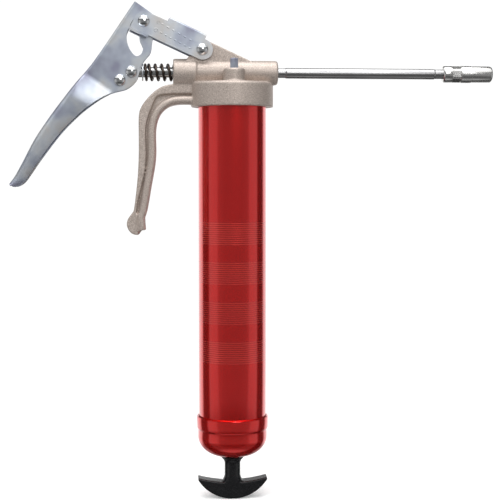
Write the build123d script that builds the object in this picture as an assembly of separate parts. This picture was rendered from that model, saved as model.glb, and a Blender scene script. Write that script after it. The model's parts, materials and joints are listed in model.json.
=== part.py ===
"""Lever-action grease gun.

Row frame: the origin is on the barrel's axis, in the plane of the head collar's underside.
+Z runs up along the barrel, +X towards the outlet pipe, and the lever hangs on the -X side.
"""

from build123d import *
import math
import os

# ---- driving dimensions, in millimetres ----
BARREL_R = 28.5            # outside of the drawn steel tube
BARREL_WALL = 1.2
BARREL_TOP = 12.6          # the tube's rim, inside the collar
BARREL_BOTTOM = -277.5     # the tube's rim, inside the end cap
COLLAR_R = 34.2
COLLAR_TOP = 20.0
COLLAR_ROOF = 15.0         # underside of the collar's roof
PUMP_Z = 28.5              # the plunger, the outlet and the pipe share this axis
PUMP_R = 10.1
PUMP_END = 38.1
GLAND_R = 11.3
GLAND_X = -49.2            # outer face of the plunger gland
GLAND_STEP = -30.0         # where the gland steps down to the pump body
PLUNGER_R = 4.35
STROKE = 16.0              # plunger travel for a full squeeze
LINK_PIVOT = (-25.3, 47.0)       # X, Z of the link's pivot on the head lug
FULCRUM = (-73.3, 69.7)          # X, Z of the lever's fulcrum, on the link
PLUNGER_PIN = (-83.8, PUMP_Z)    # X, Z of the lever's pin through the plunger
SPACER_PIN = (-93.3, 21.5)       # X, Z of the spacer rivet
LEVER_PLATE = 1.9          # sheet thickness of the lever
LEVER_HALF = 6.2           # half the lever's width between link and plunger
HANDLE_HALF = 11.5         # half the lever's width in the hand
LINK_PLATE = 2.2
LINK_GAP = 6.5             # half the gap between the link's cheeks
LINK_TAB = 2.6             # how far the thumb tabs stand out of the cheeks
LUG_HALF = 6.3
RIVET_R = 3.1              # rivet shanks
HEAD_R = 5.1               # rivet heads
HEAD_H = 2.9
FIT = 0.05                 # radial running clearance
THREAD_GAP = 0.1           # radial gap left in screwed joints
ROD_R = 3.2
FOLLOWER_TRAVEL = 230.0
PIPE_R = 4.4
PIPE_BORE = 2.0
PIPE_NECK_R = 3.95
COUPLER_X = 178.6
COUPLER_END = 221.0
COUPLER_R = 7.0


def save(name, shape):
    """Writes one sub-part; parts that repeat are kept as separate solids in one file."""
    shape.label = name
    export_step(shape, f"parts/{name}.step")


def rod_x(x0, x1, radius, z=PUMP_Z, y=0.0):
    """A cylinder along X from x0 to x1."""
    return Pos((x0 + x1) / 2, y, z) * Rot(0, 90, 0) * Cylinder(radius, x1 - x0)


def rod_z(z0, z1, radius, x=0.0, y=0.0):
    """A cylinder along Z from z0 to z1."""
    return Pos(x, y, (z0 + z1) / 2) * Cylinder(radius, z1 - z0)


def rod_y(x, z, radius, y0, y1):
    """A cylinder along Y from y0 to y1, at X, Z."""
    return Pos(x, (y0 + y1) / 2, z) * Rot(90, 0, 0) * Cylinder(radius, y1 - y0)


def slab(face, y0, y1):
    """A flat outline drawn in X and Z, given its thickness from y0 to y1."""
    return Pos(0, y1, 0) * extrude(Plane.XZ * face, y1 - y0)


def turned_z(points):
    """A closed outline of radius and height, turned about Z."""
    return revolve(Plane.XZ * make_face(Polyline(*points, close=True)), Axis.Z)


def turned_x(points):
    """A closed outline of X and radius, turned about the pump axis."""
    return Pos(0, 0, PUMP_Z) * revolve(Plane.XZ * make_face(Polyline(*points, close=True)), Axis.X)


def coil(radius, wire, pitch, length):
    """A round-wire compression spring along Z, standing on the XY plane."""
    rise = length - 2 * wire
    path = Pos(0, 0, wire) * Helix(pitch, rise, radius)
    start = Plane(origin=path @ 0, z_dir=path % 0)
    return sweep(start * Circle(wire), path=path, is_frenet=True)


def along_x(shape, x):
    """Lays a shape made about Z along the pump axis, starting at x."""
    return Pos(x, 0, PUMP_Z) * Rot(0, 90, 0) * shape


# ---- the head casting, with its grip ----
GRIP_WEB = 3.6             # half thickness of the grip's web
GRIP_FLANGE = 6.4          # half width of its outer flange
GRIP_RAIL = 9.5            # half width of its palm rail
BOSS = (0.5, -18.5)        # X, Y of the bleeder boss
BOSS_R = 9.0
BOSS_TOP = 30.7
PORT_X = 4.0               # grease port between the barrel and the pump bore
CHECK_X = 14.0             # seat of the outlet check valve
OUTLET_X = 24.0            # inner end of the outlet thread
OUTLET_R = PIPE_NECK_R + THREAD_GAP


def grip():
    """The fixed grip: a flange on the lever's side and a full-round rail on the palm's side."""
    outer = Spline((-49.0, 18.4), (-64.2, 12.9), (-74.7, 1.4), (-78.0, -13.0), tangents=((-1, 0), (0, -1)))
    shin = Spline(outer @ 1, (-78.2, -45.0), (-82.3, -85.5), tangents=((0, -1), (-0.15, -1)))
    heel = Spline(shin @ 1, (-85.9, -91.0), (-88.3, -97.4), (-85.4, -104.2), (-78.4, -106.6),
                  tangents=((-0.3, -1), (1, 0)))
    seam = Spline(heel @ 1, (-80.2, -88.5), (-76.2, -67.0), (-71.9, -38.0), (-71.6, -14.0),
                  (-65.4, 3.8), (-47.0, 10.6), tangents=((-0.1, 1), (1, 0)))
    root = Polyline(seam @ 1, (-31.0, 10.6), (-31.0, 18.4), outer @ 0)
    flange = slab(make_face([outer, shin, heel, seam, root]), -GRIP_FLANGE, GRIP_FLANGE)
    spine = Spline((-31.0, 5.4), (-42.0, 5.5), (-52.6, 3.6), (-60.6, -2.2), (-66.0, -14.0),
                   (-66.7, -38.0), (-71.0, -67.0), (-75.2, -88.5), (-75.6, -102.6),
                   tangents=((-1, 0), (0.1, -1)))
    web = slab(make_face([outer, shin, heel, Line(heel @ 1, spine @ 1), spine,
                          Polyline(spine @ 0, (-31.0, 18.4), outer @ 0)]), -GRIP_WEB, GRIP_WEB)
    path = Plane.XZ * spine
    section = Plane(origin=path @ 0, x_dir=(0, 1, 0), z_dir=path % 0)
    rail = sweep(section * RectangleRounded(2 * GRIP_RAIL, 6.8, 3.2), path=path)
    return flange + web + rail


def lug():
    """The rib on top of the pump body that carries the link's pivot."""
    px, pz = LINK_PIVOT
    nose = 7.3
    foot = (-38.0, PUMP_Z + 8.0)
    back = (16.0, PUMP_Z + 7.0)
    rib = make_face(Polyline(foot, (-37.4, 40.2), (px - nose, pz - 1.5), (px - 3.0, pz + 6.6),
                             (px + 0.4, pz + 7.9), (px + 5.4, pz + 7.1), (16.6, 37.4), back,
                             close=True))
    return slab(rib, -LUG_HALF, LUG_HALF) + rod_y(px, pz, nose, -LUG_HALF, LUG_HALF)


def head_casting():
    collar = fillet(rod_z(0, COLLAR_TOP, COLLAR_R).edges().sort_by(Axis.Z)[-1], 2.5)
    pump = fillet(rod_x(GLAND_STEP, PUMP_END, PUMP_R).edges().sort_by(Axis.X)[-1], 2.0)
    gland = fillet(rod_x(GLAND_X, GLAND_STEP, GLAND_R).edges().sort_by(Axis.X)[0], 0.8)
    saddle = Pos(0, 0, (COLLAR_TOP + PUMP_Z) / 2 - 1) * Box(60, 15, PUMP_Z - COLLAR_TOP + 2)
    boss = fillet(rod_z(COLLAR_TOP - 2, BOSS_TOP, BOSS_R, *BOSS).edges().sort_by(Axis.Z)[-1], 1.8)
    body = collar + pump + gland + saddle + boss + lug() + grip()
    body -= rod_z(-1, COLLAR_ROOF, BARREL_R + THREAD_GAP)
    body -= rod_x(GLAND_X - 1, GLAND_X + 8.0, 7.9)
    body -= rod_x(GLAND_X, CHECK_X, PLUNGER_R + FIT)
    body -= rod_x(CHECK_X, OUTLET_X, 3.6)
    body -= rod_x(GLAND_X + 8.0, GLAND_X + 14.0, 6.6)
    body -= rod_x(OUTLET_X, PUMP_END + 1, OUTLET_R)
    body -= rod_z(COLLAR_ROOF - 1, PUMP_Z, 3.0, PORT_X)
    body -= rod_z(COLLAR_ROOF - 1, BOSS_TOP - 10.0, 1.5, *BOSS)
    body -= rod_z(BOSS_TOP - 10.0, BOSS_TOP + 1, 4.0 + THREAD_GAP, *BOSS)
    body -= rod_y(*LINK_PIVOT, RIVET_R + FIT, -LUG_HALF - 1, LUG_HALF + 1)
    return body


# ---- the barrel and what closes it ----
GROOVE_BANDS = (-95.8, -128.5, -161.6, -194.5)     # top ring of each grip band
GROOVES = 11
GROOVE_PITCH = 1.72
GROOVE_DEPTH = 0.3


def barrel():
    """A steel tube with four bands of rolled rings for a greasy hand."""
    inner = BARREL_R - BARREL_WALL
    outline = [(inner, BARREL_TOP), (BARREL_R, BARREL_TOP)]
    for top in GROOVE_BANDS:
        for n in range(GROOVES):
            z = top - n * GROOVE_PITCH
            outline += [(BARREL_R, z), (BARREL_R - GROOVE_DEPTH, z - 0.35),
                        (BARREL_R - GROOVE_DEPTH, z - 0.75), (BARREL_R, z - 1.1)]
    outline += [(BARREL_R, BARREL_BOTTOM), (inner, BARREL_BOTTOM)]
    return turned_z(outline)


def barrel_gasket():
    outer = rod_z(BARREL_TOP, COLLAR_ROOF, BARREL_R)
    return outer - rod_z(BARREL_TOP - 1, COLLAR_ROOF + 1, BARREL_R - 3.4)


CAP_R = 30.3
CAP_RIM = -260.0
CAP_STEP = -270.7
CAP_FOOT = -295.0
CAP_WALL = 1.2
CAP_HOLE = 4.9


def cap_side(inset):
    """Half of the end cap's section, drawn inwards by inset: band, step, shoulder and dome."""
    band = CAP_R - inset
    skirt = CAP_R - 0.9 - inset
    shoulder = Line((band, CAP_RIM), (band, CAP_STEP))
    step = Line(shoulder @ 1, (skirt, CAP_STEP - 0.9))
    side = Line(step @ 1, (skirt, -278.0))
    knee = (24.0 - inset * 0.75, -288.0 + inset * 0.7)
    dome = Spline(side @ 1, knee, (8.0, CAP_FOOT + 0.3 + inset), (0, CAP_FOOT + inset),
                  tangents=((0, -1), (-1, 0)))
    return [shoulder, step, side, dome]


def end_cap():
    """The drawn steel cap, screwed over the barrel's lower end."""
    def solid(inset, top):
        lines = cap_side(inset)
        lines += [Polyline(lines[-1] @ 1, (0, top), (CAP_R - inset, top), lines[0] @ 0)]
        return revolve(Plane.XZ * make_face(lines), Axis.Z)
    hollow = solid(CAP_WALL, CAP_RIM + 1) & rod_z(CAP_FOOT, BARREL_BOTTOM, CAP_R + 1)
    shell = solid(0, CAP_RIM + 0.01) - hollow - rod_z(BARREL_BOTTOM, CAP_RIM + 2, BARREL_R + THREAD_GAP)
    return shell - rod_z(CAP_FOOT - 2, -284, CAP_HOLE)


def rod_guide():
    """The flanged bush in the cap's foot that the pull rod slides through."""
    top = CAP_FOOT + 2.4
    sleeve = rod_z(CAP_FOOT + 0.4, top, CAP_HOLE - 0.02) + rod_z(top, top + 3.0, 8.0)
    return sleeve - rod_z(CAP_FOOT - 1, top + 4, ROD_R + FIT)


# ---- the follower, its spring and the pull rod ----
FOLLOWER_TOP = 6.0
SPRING_TOP = -12.0
SPRING_FOOT = -285.4
FOLLOWER_SPRING_R = 21.5
FOLLOWER_SPRING_WIRE = 1.3
ROD_TOP = 1.0
ROD_COLLAR_R = 5.2


def follower_cup():
    """The rubber cup that wipes the barrel and pushes the grease."""
    wipe = BARREL_R - BARREL_WALL - 0.4
    return turned_z([(9.5, -4.0), (wipe - 2.2, -4.0), (wipe - 2.2, -8.0), (wipe, -8.0),
                     (wipe - 0.8, -2.0), (wipe, FOLLOWER_TOP), (wipe - 1.8, FOLLOWER_TOP),
                     (wipe - 4.6, 0), (9.5, 0)])


def follower_plate():
    """The pressed steel plate under the cup: the spring pushes on it, the rod's collar pulls it."""
    return turned_z([(ROD_R + FIT, -12.0), (19.6, -12.0), (24.0, -10.0), (24.0, -8.6), (20.0, -8.6),
                     (20.0, -4.0), (9.5, -4.0), (9.5, -1.0), (7.6, -1.0), (7.6, -7.0),
                     (ROD_R + FIT, -7.0)])


def follower_spring():
    length = SPRING_TOP - SPRING_FOOT
    spring = coil(FOLLOWER_SPRING_R, FOLLOWER_SPRING_WIRE, 18.0, length)
    return Pos(0, 0, SPRING_FOOT) * spring


HANDLE_TOP = -295.5
HANDLE_FOOT = -331.2
NECK_R = 6.75
BAR_HALF = 29.0
BAR_DEPTH = 6.7            # half depth of the pull bar


def pull_rod():
    """The follower rod, with a latch neck near its foot and a collar under the follower cup."""
    rod = rod_z(HANDLE_TOP - 12, ROD_TOP, ROD_R)
    rod += rod_z(-6.6, -2.4, ROD_COLLAR_R)
    neck = rod_z(-289.1, -285.1, ROD_R + 1) - rod_z(-289.1, -285.1, ROD_R - 0.8)
    return rod - neck


def pull_handle():
    """The moulded T handle: flange, round neck and a crescent bar."""
    stem = turned_z([(0, HANDLE_TOP), (9.6, HANDLE_TOP), (9.6, HANDLE_TOP - 1.1),
                     (NECK_R + 1.0, HANDLE_TOP - 2.8), (NECK_R, HANDLE_TOP - 5.0),
                     (NECK_R, -317.6), (0, -317.6)])
    flare = turned_z([(0, -310.5), (NECK_R - 0.4, -310.5), (NECK_R + 0.7, -314.0),
                      (NECK_R + 2.6, -317.6), (0, -317.6)])
    stem += flare & Pos(0, 0, -314) * Box(40, 2 * BAR_DEPTH, 10)
    top = ThreePointArc((-BAR_HALF, -313.0), (0, -317.0), (BAR_HALF, -313.0))
    tip_r = ThreePointArc(top @ 1, (BAR_HALF + 0.3, -314.8), (BAR_HALF - 0.7, -316.4))
    sole = ThreePointArc(tip_r @ 1, (0, HANDLE_FOOT), (0.7 - BAR_HALF, -316.4))
    tip_l = ThreePointArc(sole @ 1, (-BAR_HALF - 0.3, -314.8), top @ 0)
    bar = slab(make_face([top, tip_r, sole, tip_l]), -BAR_DEPTH, BAR_DEPTH)
    sides = bar.faces().sort_by(Axis.Y)
    bar = fillet(sides[0].edges() + sides[-1].edges(), 1.1)
    return stem + bar - rod_z(HANDLE_TOP - 12, HANDLE_TOP + 1, ROD_R)


# ---- the plunger and its return spring ----
SEAT_X = -74.9             # outer face of the spring's seat washer
SEAT_T = 1.0


def plunger():
    """A hardened rod; its outer end is flattened and cross-drilled for the lever's pin."""
    tip = -8.0
    rod = rod_x(PLUNGER_PIN[0], tip, PLUNGER_R) + rod_y(*PLUNGER_PIN, PLUNGER_R, -PLUNGER_R, PLUNGER_R)
    flats = LEVER_HALF - LEVER_PLATE - 0.2
    for side in (-1, 1):
        rod -= Pos(-84, side * (flats + 2), PUMP_Z) * Box(18, 4, 12)
    return rod - rod_y(*PLUNGER_PIN, RIVET_R + FIT, -6, 6)


def spring_seat():
    seat = rod_x(SEAT_X, SEAT_X + SEAT_T, 7.2)
    return seat - rod_x(SEAT_X - 1, SEAT_X + 2, PLUNGER_R)


def return_spring():
    length = GLAND_X + 8.0 - (SEAT_X + SEAT_T)
    return along_x(coil(6.4, 1.05, 5.1, length), SEAT_X + SEAT_T)


def plunger_seal():
    """The packing ring at the bottom of the gland."""
    start = GLAND_X + 9.0
    return rod_x(start, start + 5.0, 6.6 - 0.02) - rod_x(start - 1, start + 6, PLUNGER_R + FIT)


def seal_washer():
    """The washer over the packing, which the return spring stands on."""
    start = GLAND_X + 8.0
    return rod_x(start, start + 1.0, 6.6 - 0.02) - rod_x(start - 1, start + 2, PLUNGER_R + FIT)


# ---- the outlet check valve, the pipe and the coupler ----
BALL_R = 2.4
SEAT_R = 1.9


def check_ball():
    seated = math.sqrt(BALL_R ** 2 - SEAT_R ** 2)
    return Pos(CHECK_X + seated + 0.02, 0, PUMP_Z) * Sphere(BALL_R)


def check_seat():
    """The hardened ring that the check ball closes."""
    return rod_x(CHECK_X - 4.0, CHECK_X, PLUNGER_R) - rod_x(CHECK_X - 5, CHECK_X + 1, SEAT_R)


def outlet_pipe():
    """The rigid extension tube; its ends are turned down and screwed into the head and coupler."""
    start = OUTLET_X + 0.4
    neck_a = 45.0
    neck_b = 171.6
    end = COUPLER_X + 8.0
    pipe = turned_x([(start, PIPE_BORE), (start, PIPE_NECK_R), (neck_a, PIPE_NECK_R),
                     (neck_a + 0.6, PIPE_R), (neck_b - 0.6, PIPE_R), (neck_b, PIPE_NECK_R),
                     (end, PIPE_NECK_R), (end, PIPE_BORE)])
    return pipe


SLEEVE_X = 193.6
KNURL_END = 202.7
JAW_X = 207.0
JAW_END = 219.0
JAW_R = 5.3
NIPPLE_R = 3.2             # the jaws' bore, which closes on a grease nipple
JAW_TRAVEL = 1.5


def coupler_body():
    """The coupler's rear half, screwed on the pipe; the sleeve screws over its front."""
    shell = turned_x([(COUPLER_X, 0), (COUPLER_X, 6.1), (COUPLER_X + 1.2, COUPLER_R),
                      (SLEEVE_X, COUPLER_R), (SLEEVE_X, 6.0), (SLEEVE_X + 8.4, 6.0),
                      (SLEEVE_X + 8.4, 0)])
    shell -= rod_x(COUPLER_X - 1, COUPLER_X + 8.0, PIPE_NECK_R + THREAD_GAP)
    shell -= rod_x(COUPLER_X, SLEEVE_X + 3.0, 1.4)
    return shell - rod_x(SLEEVE_X - 2.0, SLEEVE_X + 9.0, 4.6)


def coupler_sleeve():
    """The knurled nose sleeve that holds the jaws and sets their grip."""
    shell = turned_x([(SLEEVE_X, 0), (SLEEVE_X, 7.15), (KNURL_END, 7.15), (KNURL_END, 6.9),
                      (COUPLER_END - 2.2, 6.9), (COUPLER_END - 0.8, 6.2), (COUPLER_END, 4.9),
                      (COUPLER_END, 0)])
    shell -= rod_x(SLEEVE_X - 1, SLEEVE_X + 9.0, 6.0 + FIT)
    shell -= rod_x(SLEEVE_X, JAW_END, JAW_R + 0.15)
    return shell - rod_x(JAW_END - 1, COUPLER_END + 1, 4.0)


def coupler_jaws():
    """Four hardened jaws, cut from one ring, that snap over a grease nipple's head."""
    ring = rod_x(JAW_X, JAW_END - 0.1, JAW_R) - rod_x(JAW_X - 1, JAW_END, NIPPLE_R)
    slot = 0.35
    for turn in (45, 135):
        ring -= Pos(213, 0, PUMP_Z) * Rot(turn, 0, 0) * Box(16, 2 * slot, 16)
    return ring


def coupler_seal():
    """The rubber-faced piston that the jaws push back on to the nipple."""
    return rod_x(JAW_X - 3.0, JAW_X, 4.3) - rod_x(JAW_X - 4, JAW_X + 1, 1.4)


def coupler_spring():
    start = SLEEVE_X - 2.0
    return along_x(coil(3.5, 0.5, 2.4, JAW_X - 3.0 - start), start)


# ---- the bleeder valve on the collar ----
def bleeder_valve():
    """A quarter-inch hexagon screw with a spring-loaded vent pin through it."""
    head = Pos(*BOSS, BOSS_TOP) * extrude(RegularPolygon(3.66, 6, rotation=30), 8.2)
    head = Rot(0, 0, 0) * head
    tip = head.faces().sort_by(Axis.Z)[-1].edges()
    head = chamfer(tip, 0.45)
    shank = rod_z(BOSS_TOP - 8.0, BOSS_TOP, 4.0, *BOSS)
    valve = head + shank
    valve -= rod_z(BOSS_TOP - 9, BOSS_TOP + 6.0, 2.2, *BOSS)
    return valve - rod_z(BOSS_TOP - 9, BOSS_TOP + 9, 1.2 + FIT, *BOSS)


def vent_pin():
    """The pin that a fingertip presses to let trapped air out."""
    pin = rod_z(BOSS_TOP - 4.0, BOSS_TOP + 8.8, 1.2, *BOSS)
    return pin + rod_z(BOSS_TOP + 3.6, BOSS_TOP + 5.4, 2.0, *BOSS)


def vent_spring():
    spring = coil(1.7, 0.2, 1.2, 6.0)
    return Pos(*BOSS, BOSS_TOP - 2.4) * spring


# ---- the link and the lever ----
def link_frame():
    """The link's own plane: its X runs from the head pivot to the fulcrum, its Y up."""
    (ax, az), (bx, bz) = LINK_PIVOT, FULCRUM
    return math.hypot(bx - ax, bz - az), math.degrees(math.atan2(bz - az, bx - ax))


def link_channel():
    """The stamped link: two cheeks joined by a short web over the head's lug."""
    reach, angle = link_frame()
    top, foot, horn = -8.6, 8.9, 11.2
    nose = 8.8
    crown = -12.5          # outside of the web, above the pivots' line
    # Drawn along +X from the pivot, with the upper edge at negative Y, then turned in place.
    outline = make_face([
        ThreePointArc((0, foot - 0.6), (-nose, 0), (0, top)),
        Polyline((0, top), (1.6, top), (1.6, crown + 1), (35.4, crown + 1), (35.4, top), (reach, top + 0.6)),
        ThreePointArc((reach, top + 0.6), (reach + 6.0, -5.3), (reach + 8.0, 0.6)),
        Line((reach + 8.0, 0.6), (reach + 8.2, horn)),
        Line((reach + 8.2, horn), (reach - 7.5, horn)),
        Line((reach - 7.5, horn), (reach - 8.6, foot)),
        Line((reach - 8.6, foot), (0, foot - 0.6)),
    ])
    cheek = Plane.XZ * outline
    web = Pos(18.5, 0, crown + LINK_PLATE / 2) * Box(33.8, 2 * (LINK_GAP + LINK_PLATE), LINK_PLATE)
    web = fillet(web.edges().filter_by(Axis.X).sort_by(Axis.Z)[0:2], 1.9)
    link = web
    for y in (-LINK_GAP, LINK_GAP + LINK_PLATE):
        link += Pos(0, y, 0) * extrude(cheek, LINK_PLATE)
    outer = LINK_GAP + LINK_PLATE
    for side in (-1, 1):
        tab = Pos(reach + 0.4, side * (outer + 1.0), horn - 1.1) * Box(15.4, LINK_TAB + 2.0, 2.2)
        link += tab
    for along, radius in ((0, RIVET_R), (reach, RIVET_R)):
        link -= rod_y(along, 0, radius, -20, 20)
    # The drawing's upper edge faces -Z, so the turn below brings it to the top.
    return Pos(LINK_PIVOT[0], 0, LINK_PIVOT[1]) * Rot(0, -angle, 0) * link


def rivet(x, z, half, shank=RIVET_R):
    """A rivet across the work, with a domed head at each side."""
    ball = (HEAD_R ** 2 + HEAD_H ** 2) / (2 * HEAD_H)
    shape = rod_y(x, z, shank, -half, half)
    for side in (-1, 1):
        dome = Pos(x, side * (half + HEAD_H - ball), z) * Sphere(ball)
        keep = Pos(x, side * (half + 5), z) * Box(20, 10, 20)
        shape += dome & keep
    return shape


def link_pivot_rivet():
    return rivet(*LINK_PIVOT, LINK_GAP + LINK_PLATE)


def fulcrum_rivet():
    return rivet(*FULCRUM, LINK_GAP + LINK_PLATE)


def fulcrum_bush():
    """The hardened roller on the fulcrum rivet, which rides in the lever's shift slot."""
    half = LINK_GAP - 0.1
    return rod_y(*FULCRUM, 4.2, -half, half) - rod_y(*FULCRUM, RIVET_R, -half - 1, half + 1)


def plunger_rivet():
    return rivet(*PLUNGER_PIN, LEVER_HALF)


def spacer_rivet():
    return rivet(*SPACER_PIN, LEVER_HALF, 2.6)


def spacer_tube():
    half = LEVER_HALF - LEVER_PLATE
    return rod_y(*SPACER_PIN, 4.2, -half, half) - rod_y(*SPACER_PIN, 2.6, -half - 1, half + 1)


HEEL = (-80.7, 86.3)       # top of the lever's back
AXIS = (-0.575, -0.818)    # along the lever, towards its tip
CREASE = 73.2              # distance along the lever to where it starts to widen
FLARE = 20.0


def lever_side(inset, reach):
    """The lever's side outline: its back moved in by inset, its open side out by reach."""
    along, square = AXIS, (0.818, -0.575)

    def at(u, n):
        return (HEEL[0] + u * along[0] + n * square[0], HEEL[1] + u * along[1] + n * square[1])

    back = [at(-3.0 * (inset > 0), inset), at(60, inset + 0.7), at(103, inset - 2.4), at(140, inset - 2.6),
            at(182.5 + 3.0 * (inset > 0), inset + 1.6)]
    spine = Spline(*back)
    if reach:
        far = [at(186, 60), at(-3, 60)]
        return make_face([spine, Polyline(spine @ 1, *far, spine @ 0)])
    tip = Spline(spine @ 1, (-181.5, -66.6), (-177.0, -66.2), tangents=(AXIS, (0.8, 0.5)))
    belly = Spline(tip @ 1, (-160.6, -46.0), (-145.8, -26.3), (-128.1, -7.5), (-112.8, 4.2),
                   (-100.9, 11.2), tangents=((0.75, 0.7), (0.9, 0.42)))
    jaw = Spline(belly @ 1, (-88.0, 14.2), (-78.6, 22.6), (-76.6, 29.8),
                 tangents=((0.9, 0.3), (0.35, 1)))
    throat = Polyline(jaw @ 1, (-74.8, 35.4), (-70.4, 41.4), (-68.2, 43.6), (-66.2, 55.0),
                      (-62.0, 64.0), (-62.0, 73.0), (-66.0, 76.6), spine @ 0)
    return make_face([spine, tip, belly, jaw, throat])


def lever_plan(inset):
    """The lever's widths along its length, seen square to its back."""
    narrow, wide = LEVER_HALF - inset, HANDLE_HALF - inset
    half = [(-6, narrow), (CREASE, narrow), (CREASE + FLARE, wide), (176, wide), (190, wide - 2.0)]
    outline = half + [(u, -w) for u, w in reversed(half)]
    plane = Plane(origin=(HEEL[0], 0, HEEL[1]), x_dir=(AXIS[0], 0, AXIS[1]), z_dir=(0.818, 0, -0.575))
    return extrude(plane * make_face(Polyline(*outline, close=True)), 70, both=True)


def shift_slot():
    """The curved slot in both cheeks; the fulcrum bush sits in its upper end."""
    outline = Spline((-85.3, 64.9), (-87.6, 57.5), (-84.8, 46.8), (-79.4, 41.2), (-74.6, 43.6),
                     (-74.2, 49.2), (-76.9, 56.2), (-74.6, 62.8), (-68.6, 67.2), (-69.2, 73.0),
                     (-75.4, 74.8), (-81.6, 70.4), periodic=True)
    return slab(make_face(outline), -30, 30)


def lever():
    """The stamped steel lever: a channel, open towards the grip."""
    outer = slab(lever_side(0, False), -30, 30) & lever_plan(0)
    inner = slab(lever_side(LEVER_PLATE, True), -30, 30) & lever_plan(LEVER_PLATE)
    body = outer - inner - shift_slot()
    body -= rod_y(*PLUNGER_PIN, RIVET_R, -20, 20)
    return body - rod_y(*SPACER_PIN, 2.6, -20, 20)


PARTS = {
    "head_casting": head_casting, "barrel": barrel, "barrel_gasket": barrel_gasket,
    "end_cap": end_cap, "rod_guide": rod_guide, "follower_cup": follower_cup,
    "follower_plate": follower_plate, "follower_spring": follower_spring, "pull_rod": pull_rod,
    "pull_handle": pull_handle, "plunger": plunger, "spring_seat": spring_seat,
    "return_spring": return_spring, "plunger_seal": plunger_seal, "seal_washer": seal_washer,
    "check_ball": check_ball, "check_seat": check_seat, "outlet_pipe": outlet_pipe,
    "coupler_body": coupler_body, "coupler_sleeve": coupler_sleeve, "coupler_jaws": coupler_jaws,
    "coupler_seal": coupler_seal, "coupler_spring": coupler_spring,
    "bleeder_valve": bleeder_valve, "vent_pin": vent_pin, "vent_spring": vent_spring,
    "link_channel": link_channel, "link_pivot_rivet": link_pivot_rivet,
    "fulcrum_rivet": fulcrum_rivet, "fulcrum_bush": fulcrum_bush, "plunger_rivet": plunger_rivet,
    "spacer_rivet": spacer_rivet, "spacer_tube": spacer_tube, "lever": lever,
}

if __name__ == "__main__":
    os.makedirs("parts", exist_ok=True)
    for name, make in PARTS.items():
        save(name, make())
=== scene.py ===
import bpy
import bmesh
import json
import math
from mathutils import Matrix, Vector


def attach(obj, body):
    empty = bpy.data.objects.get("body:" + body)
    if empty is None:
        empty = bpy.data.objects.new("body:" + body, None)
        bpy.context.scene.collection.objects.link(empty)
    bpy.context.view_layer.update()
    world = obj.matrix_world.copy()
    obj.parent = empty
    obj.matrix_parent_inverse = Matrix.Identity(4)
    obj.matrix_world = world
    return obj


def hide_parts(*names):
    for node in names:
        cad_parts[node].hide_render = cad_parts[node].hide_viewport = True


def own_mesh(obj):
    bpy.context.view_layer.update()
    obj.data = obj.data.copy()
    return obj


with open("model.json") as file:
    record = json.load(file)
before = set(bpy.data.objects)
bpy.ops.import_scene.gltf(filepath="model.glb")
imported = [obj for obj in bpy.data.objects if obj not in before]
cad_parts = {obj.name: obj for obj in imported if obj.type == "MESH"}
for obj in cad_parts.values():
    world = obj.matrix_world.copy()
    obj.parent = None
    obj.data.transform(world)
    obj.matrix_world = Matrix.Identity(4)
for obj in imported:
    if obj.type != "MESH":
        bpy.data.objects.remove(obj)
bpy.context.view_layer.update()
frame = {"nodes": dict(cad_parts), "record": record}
MM = 0.001


# ---------------------------------------------------------------- finishes
# Every finish is mixed from a few procedural layers in object space, so that nothing is
# perfectly even: castings are grainy, plated sheet is cloudy, enamel is glassy.

def finish_nodes(name):
    material = bpy.data.materials.new(name)
    material.use_nodes = True
    tree = material.node_tree
    return material, tree, tree.nodes["Principled BSDF"]


def noise(tree, scale, detail=3.0, rough=0.5, stretch=(1, 1, 1)):
    """A noise pattern in object space; stretch squeezes it along an axis."""
    coords = tree.nodes.new("ShaderNodeTexCoord")
    mapping = tree.nodes.new("ShaderNodeMapping")
    mapping.inputs["Scale"].default_value = stretch
    texture = tree.nodes.new("ShaderNodeTexNoise")
    texture.inputs["Scale"].default_value = scale
    texture.inputs["Detail"].default_value = detail
    texture.inputs["Roughness"].default_value = rough
    tree.links.new(coords.outputs["Object"], mapping.inputs["Vector"])
    tree.links.new(mapping.outputs["Vector"], texture.inputs["Vector"])
    return texture.outputs["Fac"]


def ramp(tree, source, stops):
    """A colour ramp; stops are (position, colour)."""
    node = tree.nodes.new("ShaderNodeValToRGB")
    band = node.color_ramp
    while len(band.elements) < len(stops):
        band.elements.new(0.5)
    for element, (place, colour) in zip(band.elements, stops):
        element.position = place
        element.color = (*colour, 1)
    tree.links.new(source, node.inputs["Fac"])
    return node.outputs["Color"]


def spread(tree, source, low, high):
    """Maps the middle of a noise pattern to the range low to high."""
    node = tree.nodes.new("ShaderNodeMapRange")
    node.inputs["From Min"].default_value = 0.3
    node.inputs["From Max"].default_value = 0.7
    node.inputs["To Min"].default_value = low
    node.inputs["To Max"].default_value = high
    tree.links.new(source, node.inputs["Value"])
    return node.outputs["Result"]


def bump(tree, shader, source, strength, distance):
    """Fine relief; distance is its height in metres."""
    node = tree.nodes.new("ShaderNodeBump")
    node.inputs["Strength"].default_value = strength
    node.inputs["Distance"].default_value = distance
    tree.links.new(source, node.inputs["Height"])
    tree.links.new(node.outputs["Normal"], shader.inputs["Normal"])


def set_values(shader, **values):
    """Sets single-valued inputs; an underscore stands for a space in the input's name."""
    for key, value in values.items():
        shader.inputs[key.replace("_", " ")].default_value = value


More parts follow.
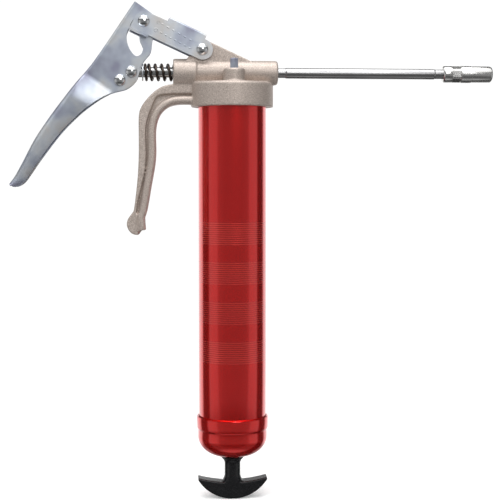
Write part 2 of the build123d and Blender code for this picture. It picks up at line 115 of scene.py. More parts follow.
def cast_metal():
    """Satin sand-cast zinc alloy: warm grey with a fine sparkle and a faint pebble."""
    material, tree, shader = finish_nodes("cast_head")
    sparkle = noise(tree, 1500, 2.0, 0.6)
    colour = ramp(tree, sparkle, [(0.30, (0.33, 0.275, 0.24)), (0.50, (0.48, 0.41, 0.365)),
                                  (0.70, (0.68, 0.60, 0.54))])
    tree.links.new(colour, shader.inputs["Base Color"])
    satin = noise(tree, 900, 2.0)
    tree.links.new(spread(tree, satin, 0.42, 0.58), shader.inputs["Roughness"])
    set_values(shader, Metallic=0.6)
    pebble = noise(tree, 1300, 2.0, 0.6)
    bump(tree, shader, pebble, 0.35, 0.00012)
    return material


def enamel(name, deep, light, rough=0.19):
    """Candy red: a fine metallic red under a thick glossy clear coat."""
    material, tree, shader = finish_nodes(name)
    drift = noise(tree, 14, 3.0)
    tree.links.new(ramp(tree, drift, [(0.35, deep), (0.65, light)]), shader.inputs["Base Color"])
    gloss = noise(tree, 6, 2.0)
    tree.links.new(spread(tree, gloss, rough, rough + 0.02), shader.inputs["Roughness"])
    set_values(shader, Metallic=0.85, Coat_Weight=1.0, Coat_Roughness=0.03, Coat_IOR=1.6)
    return material


def plated_sheet():
    """Bright zinc plate: cloudy blue-grey with pale yellow and violet tints."""
    material, tree, shader = finish_nodes("zinc_sheet")
    cloud = noise(tree, 34, 3.0)
    colour = ramp(tree, cloud, [(0.34, (0.30, 0.31, 0.40)), (0.46, (0.43, 0.47, 0.55)),
                                (0.55, (0.55, 0.58, 0.62)), (0.68, (0.56, 0.53, 0.50))])
    tree.links.new(colour, shader.inputs["Base Color"])
    patches = noise(tree, 60, 3.0)
    tree.links.new(spread(tree, patches, 0.30, 0.40), shader.inputs["Roughness"])
    set_values(shader, Metallic=0.72)
    grain = noise(tree, 500, 2.0)
    bump(tree, shader, grain, 0.02, 0.00004)
    return material


def bright_metal(name, low, high, rough_low, rough_high, stretch=(1, 1, 1)):
    """Plated or ground steel; stretch lays the fine marks along one direction."""
    material, tree, shader = finish_nodes(name)
    scale = 300
    tone = noise(tree, scale, 4.0, 0.6, stretch)
    tree.links.new(ramp(tree, tone, [(0.30, low), (0.70, high)]), shader.inputs["Base Color"])
    wear = noise(tree, scale * 0.7, 4.0, 0.6, stretch)
    tree.links.new(spread(tree, wear, rough_low, rough_high), shader.inputs["Roughness"])
    set_values(shader, Metallic=1.0)
    scratches = noise(tree, scale * 2, 3.0, 0.6, stretch)
    bump(tree, shader, scratches, 0.06, 0.00005)
    return material


def moulded(name, low, high, rough_low, rough_high):
    """Black plastic or rubber with a very fine texture."""
    material, tree, shader = finish_nodes(name)
    tone = noise(tree, 200, 3.0)
    tree.links.new(ramp(tree, tone, [(0.3, low), (0.7, high)]), shader.inputs["Base Color"])
    patches = noise(tree, 500, 3.0)
    tree.links.new(spread(tree, patches, rough_low, rough_high), shader.inputs["Roughness"])
    texture = noise(tree, 1400, 2.0)
    bump(tree, shader, texture, 0.10, 0.00005)
    return material


FINISH = {
    "cast_head": cast_metal(),
    "enamel_red": enamel("enamel_red", (0.76, 0.009, 0.007), (0.81, 0.012, 0.009)),
    "zinc_sheet": plated_sheet(),
    "bright_rivet": bright_metal("bright_rivet", (0.66, 0.68, 0.70), (0.86, 0.87, 0.88),
                                 0.12, 0.18),
    "spring_steel": bright_metal("spring_steel", (0.035, 0.026, 0.022), (0.13, 0.10, 0.085),
                                 0.28, 0.44),
    "ground_steel": bright_metal("ground_steel", (0.50, 0.50, 0.50), (0.68, 0.68, 0.67),
                                 0.12, 0.22),
    "pipe_steel": bright_metal("pipe_steel", (0.36, 0.36, 0.37), (0.58, 0.58, 0.58),
                               0.24, 0.36, stretch=(0.06, 1, 1)),
    "nickel": bright_metal("nickel", (0.74, 0.74, 0.72), (0.90, 0.89, 0.87), 0.20, 0.30),
    "black_plastic": moulded("black_plastic", (0.003, 0.003, 0.004), (0.006, 0.006, 0.007),
                             0.20, 0.30),
    "rubber": moulded("rubber", (0.016, 0.016, 0.016), (0.028, 0.028, 0.027), 0.60, 0.74),
}
SLOT_OF = {part["node"]: part["material_slot"] for part in frame["record"]["subparts"]}
BODY_OF = {node: body for body, nodes in frame["record"]["behaviour"]["bodies"].items()
           for node in nodes}


# ---------------------------------------------------------------- shared building steps
# The pieces are made as their makers would: turned, bent from sheet, coiled or cast.

WELD = 1e-6                                   # closer points than this, in metres, are one
FULL_TURN = 2 * math.pi


def add_object(name, data):
    obj = bpy.data.objects.new(name, data)
    bpy.context.scene.collection.objects.link(obj)
    return obj


def mesh_of(bm, name):
    mesh = bpy.data.meshes.new(name)
    bm.to_mesh(mesh)
    bm.free()
    return mesh


def place(mesh, name, node, smooth):
    """Makes an object of a mesh that stands for a part: its finish, its body and its shading.

    Edges that turn more than smooth degrees stay sharp.
    """
    obj = add_object(name, mesh)
    mesh.materials.clear()
    mesh.materials.append(FINISH[SLOT_OF[node]])
    for polygon in mesh.polygons:
        polygon.use_smooth = True
    mesh.set_sharp_from_angle(angle=math.radians(smooth))
    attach(obj, BODY_OF[node])
    return obj


def from_bmesh(bm, name, node, smooth):
    """Places a newly built mesh instead of the part's plain solid."""
    bmesh.ops.recalc_face_normals(bm, faces=bm.faces)
    obj = place(mesh_of(bm, name), name, node, smooth)
    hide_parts(node)
    return obj


def join_rows(bm, rows):
    """Faces between rows of points, closed both ways round, like the skin of a ring."""
    for i in range(len(rows)):
        for k in range(len(rows[0])):
            bm.faces.new((rows[i - 1][k - 1], rows[i - 1][k], rows[i][k], rows[i][k - 1]))


def turned(bm, profile, steps, axis="Z", centre=(0, 0, 0)):
    """Turns a profile of (along, radius) points in millimetres about X or Z."""
    c = Vector(centre)
    points = []
    for along, radius in profile:
        at = Vector((along, 0, radius)) if axis == "X" else Vector((radius, 0, along))
        points.append(bm.verts.new((at + c) * MM))
    edges = [bm.edges.new(pair) for pair in zip(points, points[1:])]
    bmesh.ops.spin(bm, geom=points + edges, cent=c * MM, steps=steps, angle=FULL_TURN,
                   axis=(1, 0, 0) if axis == "X" else (0, 0, 1),
                   use_merge=True, use_duplicate=False)


def rounded(profile, radius, steps=3):
    """Rounds the corners of an open profile of (along, radius) points."""
    nearly_straight = math.radians(165)
    points = [Vector(p) for p in profile]
    result = [points[0]]
    for before, corner, after in zip(points, points[1:], points[2:]):
        a, b = before - corner, after - corner
        reach = min(radius, a.length * 0.45, b.length * 0.45)
        if a.angle(b) > nearly_straight:
            result.append(corner)
            continue
        start, end = corner + a.normalized() * reach, corner + b.normalized() * reach
        for i in range(steps + 1):
            t = i / steps
            result.append(start * (1 - t) ** 2 + corner * 2 * t * (1 - t) + end * t ** 2)
    result.append(points[-1])
    return [tuple(p) for p in result]


def welded(node, flatten=False):
    """A copy of a part's mesh with its doubled points joined and, if asked, flat faces merged."""
    mesh = frame["nodes"][node].data.copy()
    bm = bmesh.new()
    bm.from_mesh(mesh)
    bmesh.ops.remove_doubles(bm, verts=bm.verts, dist=WELD)
    if flatten:
        bmesh.ops.dissolve_limit(bm, angle_limit=math.radians(0.6), verts=bm.verts,
                                 edges=bm.edges)
    bm.to_mesh(mesh)
    bm.free()
    return mesh


def break_edges(obj, width, segments, angle):
    """A small bevel, width millimetres wide, on the edges that turn more than angle degrees."""
    bevel = obj.modifiers.new("broken_edges", "BEVEL")
    bevel.width = width * MM
    bevel.segments = segments
    bevel.limit_method = "ANGLE"
    bevel.angle_limit = math.radians(angle)
    return bevel


def copied(node, name, edge, segments=2, smooth=35):
    """A copy of a machined part, with its hard edges broken by a small bevel."""
    obj = place(welded(node, flatten=True), name, node, smooth)
    break_edges(obj, edge, segments, 35).harden_normals = True
    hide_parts(node)


def cast(node, name, grid, rounds):
    """A copy of a part with every edge softened, as a casting or a moulding has them.

    It is remeshed on a grid of so many millimetres and smoothed in so many rounds.
    """
    no_sharp_edges = 180
    obj = place(welded(node), name, node, no_sharp_edges)
    skin = obj.modifiers.new("skin", "REMESH")
    skin.mode = "VOXEL"
    skin.voxel_size = grid * MM
    skin.use_smooth_shade = True
    soften = obj.modifiers.new("soften", "SMOOTH")
    soften.factor = 0.5
    soften.iterations = rounds
    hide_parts(node)


def wound(node, name, wire, points, sides):
    """Round wire of radius wire along a list of points, all in millimetres."""
    bm = bmesh.new()
    rings = []
    count = len(points)
    for i, p in enumerate(points):
        along = (points[min(i + 1, count - 1)] - points[max(i - 1, 0)]).normalized()
        turn = along.to_track_quat("Z", "Y")
        rings.append([bm.verts.new((p + turn @ Vector((math.cos(a), math.sin(a), 0)) * wire) * MM)
                      for a in (FULL_TURN * k / sides for k in range(sides))])
    for a, b in zip(rings, rings[1:]):
        for k in range(sides):
            bm.faces.new((a[k], a[(k + 1) % sides], b[(k + 1) % sides], b[k]))
    bm.faces.new(rings[0])
    bm.faces.new(rings[-1])
    return from_bmesh(bm, name, node, 60)


def coil_points(start, end, radius, wire, turns, put, steps=28):
    """Centre line of a coil spring, with one closed turn at each end besides its free turns.

    put gives a place to (distance along the spring, x and y across it); wire is a radius.
    """
    first, last = start + wire, end - wire
    free = last - first - 4 * wire
    total = turns + 2
    line = []
    for i in range(total * steps + 1):
        turn = i / steps
        if turn < 1:
            along = first + 2 * wire * turn
        elif turn > total - 1:
            along = last - 2 * wire * (total - turn)
        else:
            along = first + 2 * wire + free * (turn - 1) / turns
        angle = FULL_TURN * turn
        line.append(put(along, radius * math.cos(angle), radius * math.sin(angle)))
    return line


# ---------------------------------------------------------------- head casting
# One zinc-alloy casting: collar, pump body, gland, link lug, bleeder boss and grip.
# All edges have cast fillets, and the surface is left as it came from tumbling.
cast("head_casting", "head_body", grid=0.62, rounds=7)

# ---------------------------------------------------------------- barrel
# A welded steel tube with four bands of fine rolled rings, sprayed with gloss enamel. The
# enamel in the grooves is paler and less glossy; its paler red is a painted highlight along each
# ring.
BARREL_R = 28.5
BARREL_BORE_R = 27.3
BARREL_TOP = 12.6
BARREL_FOOT = -277.5
FOOT_CHAMFER = (0.7, 0.3)                     # height and depth
BAND_TOPS = (-95.8, -128.5, -161.6, -194.5)   # top ring of each grip band
RINGS = 11
RING_PITCH = 1.72
# One groove, as (height from its top edge, cut into the wall).
GROOVE = ((0.05, 0), (0, 0), (-0.22, 0.04), (-0.40, 0.05), (-0.58, 0.04), (-0.80, 0), (-0.85, 0))
# Extra loops close above and below a band keep the shading of the plain wall even.
PLAIN_LOOP = -94.0
LOOPS_OVER = (0.5, 0.2)
LOOPS_UNDER = (-18.92, -19.0, -19.4)

bm = bmesh.new()
profile = [(BARREL_TOP, BARREL_BORE_R), (BARREL_TOP, BARREL_R), (PLAIN_LOOP, BARREL_R)]
for band in BAND_TOPS:
    profile += [(band + step, BARREL_R) for step in LOOPS_OVER]
    for n in range(RINGS):
        z = band - n * RING_PITCH
        profile += [(z + step, BARREL_R - cut) for step, cut in GROOVE]
    profile += [(band + step, BARREL_R) for step in LOOPS_UNDER]
profile += [(BARREL_FOOT + FOOT_CHAMFER[0], BARREL_R), (BARREL_FOOT, BARREL_R - FOOT_CHAMFER[1]),
            (BARREL_FOOT, BARREL_BORE_R), (BARREL_TOP, BARREL_BORE_R)]
turned(bm, profile, steps=144)
barrel = from_bmesh(bm, "barrel_tube", "barrel", 50)
# A paler, rougher enamel for the grooves: its lighter red is a painted highlight along each ring.
barrel.data.materials.append(enamel("enamel_ring_painted_highlight", (0.76, 0.045, 0.040), (0.82, 0.065, 0.055),
                                    rough=0.30))
WALL_MIDDLE = 28.0                            # between the bore and the grooves
GROOVE_FACES_R = BARREL_R - 0.025             # the plain wall's faces lie outside this
# The grooves' own faces take the paler enamel, the painted highlight of the rings.
for face in barrel.data.polygons:
    out = math.hypot(face.center.x, face.center.y) / MM
    if WALL_MIDDLE < out < GROOVE_FACES_R and face.center.z < PLAIN_LOOP * MM:
        face.material_index = 1

# ---------------------------------------------------------------- end cap
# Drawn from sheet steel, with a wide band where it screws over the barrel, and sprayed
# in the barrel's red. The rod's guide bush is clipped into its foot.
CAP_SHEET = 1.1
CAP_HOLE_R = 4.9
DOME_TOP = -277.8
DOME_DEPTH = 17.15
DOME_REACH = 24.44                            # from the hole's edge to the dome's rim
DOME_FULLNESS = 0.9                           # 1 is a quarter ellipse, less is fuller
DOME_STEPS = 24
CAP_FLOOR = -293.8                            # the sheet's inner face at the hole

bm = bmesh.new()
outside = [(BARREL_FOOT, 28.65), (-260.3, 28.75), (-260.05, 29.4), (-260.3, 30.05),
           (-260.9, 30.28), (-269.8, 30.28), (-270.5, 30.05), (-271.1, 29.55), (-271.8, 29.38),
           (BARREL_FOOT, 29.36)]
dome = []
for i in range(DOME_STEPS + 1):
    angle = i / DOME_STEPS * math.pi / 2
    dome.append((DOME_TOP - DOME_DEPTH * math.sin(angle),
                 CAP_HOLE_R + DOME_REACH * math.cos(angle) ** DOME_FULLNESS))
inside = [(CAP_FLOOR, CAP_HOLE_R)]
inside += [(z + CAP_SHEET, max(CAP_HOLE_R, r - CAP_SHEET)) for z, r in reversed(dome[2:-2])]
inside += [(BARREL_FOOT, 27.9)]
turned(bm, outside + dome + inside + [outside[0]], steps=128)
from_bmesh(bm, "cap_shell", "end_cap", 40)

# ---------------------------------------------------------------- T handle and pull rod
# A black moulded handle with a crescent bar, fixed on the ground steel pull rod.
cast("pull_handle", "t_handle", grid=0.42, rounds=4)
copied("pull_rod", "rod", 0.3)

# ---------------------------------------------------------------- lever
# A long channel pressed from zinc-plated sheet: narrow and flat-sided at the linkage,
# then flared to a rounded grip for the palm, with a lip at the tip.
#
# It is laid out along a chord from its heel to its tip: u runs along the chord, n away from
# it on the side of the linkage. The heel and both directions are (x, z).
HEEL = Vector((-80.7, 86.2))
ALONG = Vector((-0.575, -0.818))
SQUARE = Vector((0.818, -0.575))
TIP = 182.5
# The back of the web and the open edge of the cheeks, as (u, n).
BACK = ((0, 0.1), (60, 0.7), (80, -0.9), (103, -2.3), (120, -2.7), (140, -2.3), (160, 0.1),
        (175, 1.6), (TIP, 1.7))
OPEN = ((0, 17.0), (1.2, 21.5), (4, 25.2), (9, 28.2), (17.3, 29.9), (23, 33.0), (27.7, 34.6),
        (31.5, 34.2), (38.2, 34.1), (44, 35.9), (51, 38.0), (57, 37.6), (63.2, 35.2),
        (68, 31.2), (73.2, 26.9), (79, 23.6), (86, 20.6), (95, 17.6), (104, 15.4),
        (117, 12.9), (130, 11.5), (154, 10.7), (168, 10.9), (174.6, 10.7), (179, 9.2),
        (181.5, 7.4), (TIP, 5.6))
SHEET = 1.9
LEVER_HALF = 6.15                             # half the width over the flat cheeks
GRIP_STARTS = 73.2
GRIP_FLARE = 5.2                              # what half the width gains on the grip
FLARE_RUN = 20
FLARE_CURVE = 0.6                             # 0 is a straight flare
TIP_NARROWS = 1.6
CORNER = 2.4                                  # the bend's radius at the linkage
CORNER_GAINS = 2.8                            # and what it gains on the grip
EDGE_TUCK = 1.5                               # how far the grip's edges turn in
TIP_SPAN = (150, 182)                         # where along u these three changes happen
CORNER_SPAN = (76, 104)
TUCK_SPAN = (88, 108)
BEND_SHARE = 0.55                             # the bend takes at most this much of a cheek
BEND_STEPS = 7
CHEEK_STEPS = 10
LEVER_SHARP = 32                              # degrees


def smooth_curve(points, x):
    """A smooth line through (x, y) points."""
    i = max(k for k in range(len(points) - 1) if k == 0 or points[k][0] <= x)
    (x0, y0), (x1, y1) = points[i], points[i + 1]
    a = points[i - 1] if i else points[i]
    b = points[i + 2] if i + 2 < len(points) else points[i + 1]
    t = min(max((x - x0) / (x1 - x0), 0), 1)
    m0 = (y1 - a[1]) / (x1 - a[0]) * (x1 - x0)
    m1 = (b[1] - y0) / (b[0] - x0) * (x1 - x0)
    return ((2 * t ** 3 - 3 * t ** 2 + 1) * y0 + (t ** 3 - 2 * t ** 2 + t) * m0
            + (3 * t ** 2 - 2 * t ** 3) * y1 + (t ** 3 - t ** 2) * m1)


def ease(x, start, end):
    """Rises smoothly from 0 at start to 1 at end."""
    t = min(max((x - start) / (end - start), 0), 1)
    return t * t * (3 - 2 * t)


def lever_section(u):
    """Half a cross-section at u, as (n, y) points from the web's middle to the open edge."""
    flare = min(max((u - GRIP_STARTS) / FLARE_RUN, 0), 1)
    flare = flare * (1 + FLARE_CURVE - FLARE_CURVE * flare)
    half = LEVER_HALF + GRIP_FLARE * flare - TIP_NARROWS * ease(u, *TIP_SPAN)
    back, edge = smooth_curve(BACK, u), smooth_curve(OPEN, u)
    bend = min(CORNER + CORNER_GAINS * ease(u, *CORNER_SPAN), (edge - back) * BEND_SHARE)
    section = [(back, 0), (back, (half - bend) * 0.5)]
    for i in range(BEND_STEPS + 1):
        a = i / BEND_STEPS * math.pi / 2
        section.append((back + bend * (1 - math.cos(a)), half - bend * (1 - math.sin(a))))
    tuck = EDGE_TUCK * ease(u, *TUCK_SPAN)
    for i in range(1, CHEEK_STEPS + 1):
        t = i / CHEEK_STEPS
        section.append((back + bend + (edge - back - bend) * t, half - tuck * t * t))
    return section


def lever_place(u, n, y):
    """Where a point of the lever lies in the frame."""
    at = HEEL + ALONG * u + SQUARE * n
    return Vector((at.x, y, at.y)) * MM


# Cross-sections lie close together at the heel and the tip, where the outline turns.
stations = [0, 0.5, 1.2, 2.5, 4] + [4 + 2.2 * i for i in range(1, 31)]
stations += [u for u in (GRIP_STARTS + 1.9 * i for i in range(56)) if u < 178.5]
stations += [179.5, 180.5, 181.3, 182, TIP]
bm = bmesh.new()
grid = []
for u in stations:
    half = lever_section(u)
    row = [bm.verts.new(lever_place(u, n, y)) for n, y in reversed(half)]
    row += [bm.verts.new(lever_place(u, n, -y)) for n, y in half[1:]]
    grid.append(row)
for a, b in zip(grid, grid[1:]):
    for k in range(len(a) - 1):
        bm.faces.new((a[k], a[k + 1], b[k + 1], b[k]))
bmesh.ops.recalc_face_normals(bm, faces=bm.faces)
# The web's faces have to point outward, as the sheet is thickened inward from them.
outward = Vector((-SQUARE.x, 0, -SQUARE.y))
web_face = grid[10][len(grid[0]) // 2].link_faces[0]
if web_face.normal.dot(outward) < 0:
    bmesh.ops.reverse_faces(bm, faces=bm.faces)
lever = place(mesh_of(bm, "lever_sheet"), "lever_sheet", "lever", LEVER_SHARP)
thick = lever.modifiers.new("sheet", "SOLIDIFY")
thick.thickness = SHEET * MM
thick.offset = -1
thick.use_even_offset = True

# The shift slot is pierced through both cheeks. Its outline is a smooth closed line through
# these (x, z) points.
SLOT = ((-85.2, 64.7), (-87.4, 59.8), (-87.5, 55.7), (-86.2, 50.0), (-83.8, 45.1),
        (-79.9, 41.3), (-75.9, 42.6), (-74.0, 47.0), (-74.9, 50.5), (-76.7, 54.6),
        (-76.6, 58.4), (-73.8, 62.6), (-69.0, 66.0), (-68.4, 71.6), (-72.4, 75.2),
        (-79.2, 73.4), (-83.0, 69.4))
SLOT_STEPS = 4
PUNCH_HALF = 20                               # the punch reaches this far each side
bm = bmesh.new()
loop = []
for i in range(len(SLOT)):
    p = [Vector(SLOT[(i + k) % len(SLOT)]) for k in (-1, 0, 1, 2)]
    for step in range(SLOT_STEPS):
        t = step / SLOT_STEPS
        at = 0.5 * (2 * p[1] + (p[2] - p[0]) * t + (2 * p[0] - 5 * p[1] + 4 * p[2] - p[3]) * t ** 2
                    + (3 * p[1] - p[0] - 3 * p[2] + p[3]) * t ** 3)
        loop.append(bm.verts.new(Vector((at.x, -PUNCH_HALF, at.y)) * MM))
through = bmesh.ops.extrude_face_region(bm, geom=[bm.faces.new(loop)])["geom"]
bmesh.ops.translate(bm, verts=[v for v in through if isinstance(v, bmesh.types.BMVert)],
                    vec=(0, 2 * PUNCH_HALF * MM, 0))
bmesh.ops.recalc_face_normals(bm, faces=bm.faces)
punch = add_object("punch", mesh_of(bm, "punch"))
pierce = lever.modifiers.new("pierced", "BOOLEAN")
pierce.operation = "DIFFERENCE"
pierce.solver = "EXACT"
pierce.object = punch
bpy.context.view_layer.update()
depsgraph = bpy.context.evaluated_depsgraph_get()
pierced = bpy.data.meshes.new_from_object(lever.evaluated_get(depsgraph))
pierced.name = "lever_pierced"
lever.modifiers.clear()
lever.data = pierced
pierced.set_sharp_from_angle(angle=math.radians(LEVER_SHARP))
bpy.data.objects.remove(punch)
break_edges(lever, 0.3, 2, 50)
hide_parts("lever")

# ---------------------------------------------------------------- link
# A short channel pressed from the same plated sheet, with a thumb tab on each cheek. Two
# rows of raised dashes, each after a small ring, are stamped on the near cheek.
copied("link_channel", "link_sheet", 0.8, segments=4)
PIVOT = Vector((-25.3, 47.0))
FULCRUM = Vector((-73.3, 69.7))
CHEEK = 8.7
RAISED = 0.28
DASH_HALF_HEIGHT = 0.62
RING_R = 1.35
RING_HALF_LINE = 0.36
RING_STEPS = 36
LINE_STEPS = 10
# Both are placed along the link from the fulcrum and down from its middle line.
RUN = (PIVOT - FULCRUM).normalized()
DROP = Vector((RUN.y, -RUN.x))
# Each dash is (along, down, length), each ring (along, down).
DASHES = [(15 + 5.2 * n, -4.3 + 0.32 * n, 2.6) for n in range(6)]
DASHES += [(17 + 4.4 * n, 2.4 + 0.2 * n, 2.2) for n in range(7)]
RING_CENTRES = ((11.6, -4.6), (12.2, 2.2))


def on_cheek(flat, rise):
    """A place on the near cheek, raised from it by rise."""
    return Vector((flat.x, -CHEEK + rise, flat.y)) * MM


bm = bmesh.new()
for along, down, length in DASHES:
    middle = FULCRUM + RUN * along + DROP * down
    for v in bmesh.ops.create_icosphere(bm, subdivisions=3, radius=1)["verts"]:
        flat = middle + RUN * v.co.x * length / 2 + DROP * v.co.z * DASH_HALF_HEIGHT
        v.co = on_cheek(flat, v.co.y * RAISED)
for along, down in RING_CENTRES:
    middle = FULCRUM + RUN * along + DROP * down
    rows = []
    for i in range(RING_STEPS):
        turn = i / RING_STEPS * FULL_TURN
        row = []
        for k in range(LINE_STEPS):
            tube = k / LINE_STEPS * FULL_TURN
            reach = RING_R + RING_HALF_LINE * math.cos(tube)
            flat = middle + RUN * reach * math.cos(turn) + DROP * reach * math.sin(turn)
            row.append(bm.verts.new(on_cheek(flat, RAISED * math.sin(tube))))
        rows.append(row)
    join_rows(bm, rows)
from_bmesh(bm, "link_marks", "link_channel", 60)

# ---------------------------------------------------------------- rivets, bush and spacer
# Bright plated steel rivets with domed heads, set cold.
for node in ("link_pivot_rivet", "fulcrum_rivet", "plunger_rivet", "spacer_rivet"):
    copied(node, node + "_dome", 0.35, segments=3, smooth=50)
for node in ("fulcrum_bush", "spacer_tube"):
    copied(node, node + "_turned", 0.2)

# ---------------------------------------------------------------- plunger and return spring
# A ground rod with the return spring coiled round it between a seat washer and the gland.
PUMP_Z = 28.5                                 # height of the pump's bore, pipe and coupler
RETURN_WIRE = 1.04


def on_pump(along, x, y):
    """A place in the frame, from a distance along the pump's axis and x, y across it."""
    return Vector((along, x, PUMP_Z + y))


copied("plunger", "plunger_rod", 0.25)
copied("spring_seat", "spring_seat_washer", 0.15)
spring = wound("return_spring", "return_coil", RETURN_WIRE,
               coil_points(-73.9, -41.25, radius=6.4, wire=RETURN_WIRE, turns=5, put=on_pump),
               sides=14)
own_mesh(spring)

# ---------------------------------------------------------------- outlet pipe
# A rigid plated tube, turned down and screwed in at both ends.
PIPE_BORE_R = 2.0
PIPE_NECK_R = 3.95
PIPE_R = 4.4
PIPE_ENDS = (24.4, 186.6)
bm = bmesh.new()
profile = [(PIPE_ENDS[0], PIPE_BORE_R), (PIPE_ENDS[0], PIPE_NECK_R), (44.6, PIPE_NECK_R),
           (45.4, PIPE_R), (171.0, PIPE_R), (171.8, PIPE_NECK_R), (PIPE_ENDS[1], PIPE_NECK_R),
           (PIPE_ENDS[1], PIPE_BORE_R), (PIPE_ENDS[0], PIPE_BORE_R)]
turned(bm, rounded(profile, 0.35), steps=72, axis="X", centre=(0, 0, PUMP_Z))
from_bmesh(bm, "outlet_tube", "outlet_pipe", 40)

# ---------------------------------------------------------------- coupler
# Bright plated and turned: the body on the pipe, the knurled sleeve over it, and four
# hardened jaws that show in the nose.
FLAT_R = 6.25                                 # from the axis to each of the six flats
FLATS_FROM, FLATS_TO = 186.4, 193.3
KNURL_R = 7.15
KNURL_FROM, KNURL_TO = 194.0, 202.3
KNURL_WAVES = 30                              # round the sleeve; each makes two grooves
KNURL_TWIST = 4.0                             # phase gained in a millimetre along, in radians
KNURL_DEPTH = 0.09
KNURL_NARROW = 8                              # the higher, the narrower the grooves
KNURL_STEP = 0.26
COUPLER_WIRE = 0.5


def milled(bm, profile, shape, steps):
    """Turns a closed (along, radius) profile about the pump's axis and cuts it to a shape.

    shape(along, radius, turn) gives the radius that is left there.
    """
    rows = []
    for i in range(steps):
        turn = i / steps * FULL_TURN
        row = []
        for along, radius in profile[:-1]:
            r = shape(along, radius, turn)
            row.append(bm.verts.new(on_pump(along, r * math.sin(turn), r * math.cos(turn)) * MM))
        rows.append(row)
    join_rows(bm, rows)


def hexagon(along, radius, turn):
    """Six flats for a spanner on the middle of the coupler's body."""
    flat = FLAT_R / math.cos((turn % (math.pi / 3)) - math.pi / 6)
    return min(radius, flat) if FLATS_FROM < along < FLATS_TO else radius


def knurl(along, radius, turn):
    """A fine diamond knurl round the back of the nose sleeve."""
    if radius < KNURL_R or not KNURL_FROM < along < KNURL_TO:
        return radius
    rise = turn * KNURL_WAVES + along * KNURL_TWIST
    fall = turn * KNURL_WAVES - along * KNURL_TWIST
    return radius - KNURL_DEPTH * max(math.sin(rise) ** KNURL_NARROW,
                                      math.sin(fall) ** KNURL_NARROW)


bm = bmesh.new()
milled(bm, [(178.6, 4.05), (178.6, 6.0), (178.8, 6.3), (179.7, 6.9), (180.0, 7.0), (186.0, 7.0),
            (186.3, 6.9), (186.5, 6.9), (193.2, 6.9), (193.4, 6.0), (201.9, 6.0), (201.9, 4.65),
            (191.7, 4.65), (191.7, 1.5), (186.7, 1.5), (186.7, 4.05), (178.6, 4.05)],
       hexagon, 120)
from_bmesh(bm, "coupler_rear", "coupler_body", 30)
bm = bmesh.new()
profile = [(193.6, 6.05), (193.6, 6.95), (193.8, KNURL_R)]
profile += [(KNURL_FROM + n * KNURL_STEP, KNURL_R) for n in range(33)]
profile += [(202.5, KNURL_R), (202.7, 6.70), (203.1, 6.70), (203.3, 6.9), (218.6, 6.9),
            (219.5, 6.65), (220.3, 6.1), (220.8, 5.3), (221.0, 4.8), (221.0, 4.0), (219.1, 4.0),
            (219.1, 5.45), (202.6, 5.45), (202.6, 6.05), (193.6, 6.05)]
milled(bm, profile, knurl, 300)
from_bmesh(bm, "coupler_nose", "coupler_sleeve", 30)
copied("coupler_jaws", "coupler_jaw_set", 0.15)
copied("coupler_seal", "coupler_piston", 0.2)
spring = wound("coupler_spring", "coupler_coil", COUPLER_WIRE,
               coil_points(191.65, 203.95, radius=3.5, wire=COUPLER_WIRE, turns=3, put=on_pump),
               sides=8)
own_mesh(spring)

# ---------------------------------------------------------------- bleeder valve
# A plated hexagon screw in the collar's boss, with a spring-loaded vent pin through it.
copied("bleeder_valve", "bleeder_screw", 0.35, segments=3)
copied("vent_pin", "vent_plunger", 0.15)
BOSS = Vector((0.5, -18.5))
VENT_WIRE = 0.2


def in_boss(along, x, y):
    """A place in the frame, from a height on the bleeder boss's axis and x, y across it."""
    return Vector((BOSS.x + x, BOSS.y + y, along))


spring = wound("vent_spring", "vent_coil", VENT_WIRE,
               coil_points(28.3, 34.3, radius=1.7, wire=VENT_WIRE, turns=4, put=in_boss),
               sides=6)
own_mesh(spring)

# ---------------------------------------------------------------- inside the barrel
# Rubber cup, pressed plate and the long follower spring.
FOLLOWER_WIRE = 1.3


def in_barrel(along, x, y):
    """A place in the frame, from a height on the barrel's axis and x, y across it."""
    return Vector((x, y, along))


copied("follower_cup", "wiper_cup", 0.3)
copied("follower_plate", "cup_plate", 0.3)
spring = wound("follower_spring", "follower_coil", FOLLOWER_WIRE,
               coil_points(-285.4, -12.0, radius=21.5, wire=FOLLOWER_WIRE, turns=13,
                           put=in_barrel, steps=40),
               sides=10)
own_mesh(spring)

# The pieces that keep their plain solids get the finish of their slot too.
for node, obj in frame["nodes"].items():
    if not obj.hide_render:
        obj.data.materials.clear()
        obj.data.materials.append(FINISH[SLOT_OF[node]])

# ---------------------------------------------------------------- studio
# A white floor that stays out of reflections, a sky of light and dark bands for the metal and
# the enamel to reflect, which the camera sees as plain white, and soft lights.
FLOOR_Z = -0.3313
FLOOR_R = 0.55
SKY_STRENGTH = 1.05
WHITE = (1, 1, 1, 1)

floor_white, _, floor_shader = finish_nodes("floor_white")
set_values(floor_shader, Base_Color=(0.9, 0.9, 0.9, 1), Roughness=0.9, Emission_Color=WHITE,
           Emission_Strength=0.28)
bm = bmesh.new()
bmesh.ops.create_circle(bm, cap_ends=True, radius=FLOOR_R, segments=128)
bmesh.ops.translate(bm, verts=bm.verts, vec=(0, 0, FLOOR_Z))
floor = add_object("studio_floor", mesh_of(bm, "studio_floor"))
floor.data.materials.append(floor_white)
floor.visible_glossy = False

world = bpy.data.worlds.new("studio")
bpy.context.scene.world = world
world.use_nodes = True
sky = world.node_tree
background = sky.nodes["Background"]
direction = sky.nodes.new("ShaderNodeTexCoord")
split = sky.nodes.new("ShaderNodeSeparateXYZ")
sky.links.new(direction.outputs["Generated"], split.inputs["Vector"])


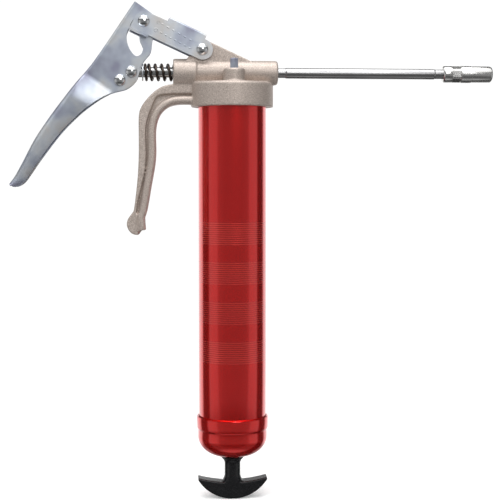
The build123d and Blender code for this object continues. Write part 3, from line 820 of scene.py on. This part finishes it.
# Brightness by direction: stops are (the direction's part along one axis, brightness).
AROUND_BY_Y = ((-1.0, 0.20), (-0.90, 0.20), (-0.62, 0.26), (-0.54, 0.46), (-0.04, 0.50),
               (0.04, 0.05), (0.52, 0.05), (0.60, 1.0), (1.0, 1.0))
AROUND_BY_Z = ((-1.0, 0.9), (-0.93, 0.8), (-0.84, 0.30), (-0.50, 0.30), (-0.36, 1.0),
               (0.22, 1.0), (0.32, 0.12), (1.0, 0.12))
ABOVE_BY_Z = ((-1.0, 0.0), (0.40, 0.0), (0.58, 1.0), (1.0, 1.0))
ABOVE_BY_Y = ((-1.0, 1.0), (0.02, 1.0), (0.14, 0.1), (1.0, 0.1))
# A colour Mix node's own sockets, which share their names with those of its other types.
MIX_A, MIX_B, MIX_RESULT = 6, 7, 2


def sky_band(axis, stops):
    """Brightness by direction along one axis, from -1 to 1."""
    node = sky.nodes.new("ShaderNodeMapRange")
    node.inputs["From Min"].default_value = -1
    sky.links.new(split.outputs[axis], node.inputs["Value"])
    return ramp(sky, node.outputs["Result"], [((at + 1) / 2, (v, v, v)) for at, v in stops])


def combine(blend, first, second):
    """Two sky brightness patterns joined into one."""
    node = sky.nodes.new("ShaderNodeMix")
    node.data_type = "RGBA"
    node.blend_type = blend
    node.inputs["Factor"].default_value = 1.0
    sky.links.new(first, node.inputs[MIX_A])
    sky.links.new(second, node.inputs[MIX_B])
    return node.outputs[MIX_RESULT]


around = combine("MULTIPLY", sky_band("Y", AROUND_BY_Y), sky_band("Z", AROUND_BY_Z))
above = combine("MULTIPLY", sky_band("Z", ABOVE_BY_Z), sky_band("Y", ABOVE_BY_Y))
backdrop = sky.nodes.new("ShaderNodeMix")
backdrop.data_type = "RGBA"
backdrop.inputs[MIX_B].default_value = WHITE
light_path = sky.nodes.new("ShaderNodeLightPath")
sky.links.new(light_path.outputs["Is Camera Ray"], backdrop.inputs["Factor"])
sky.links.new(combine("LIGHTEN", around, above), backdrop.inputs[MIX_A])
sky.links.new(backdrop.outputs[MIX_RESULT], background.inputs["Color"])
background.inputs["Strength"].default_value = SKY_STRENGTH


def aim_at(obj, location, target):
    """Puts a light or the camera at a location and turns it to a target, both in metres."""
    obj.location = location
    ahead = Vector(target) - Vector(location)
    obj.rotation_euler = ahead.to_track_quat("-Z", "Y").to_euler()


def soft_light(name, location, target, side, power):
    """A square area light, side metres wide."""
    light = bpy.data.lights.new(name, "AREA")
    light.shape = "SQUARE"
    light.size = side
    light.energy = power
    obj = add_object(name, light)
    aim_at(obj, location, target)
    return obj


soft_light("overhead", (0, -0.2, 1.5), (0, 0, 0), side=1.6, power=22)
front = soft_light("front", (-0.9, -1.2, 0.95), (0, 0, -0.05), side=1.3, power=17)
front.visible_glossy = False
soft_light("glint", (0.22, -1.1, 0.50), (-0.11, 0, 0.03), side=0.6, power=3)

camera_data = bpy.data.cameras.new("camera")
camera_data.sensor_width = 36
camera_data.lens = 84.4
camera_data.clip_start = 0.01
camera = add_object("camera", camera_data)
aim_at(camera, (-0.06252, -0.985, -0.05764), (0.015, 0, -0.1198))
bpy.context.scene.camera = camera
bpy.context.scene.view_settings.view_transform = "Standard"
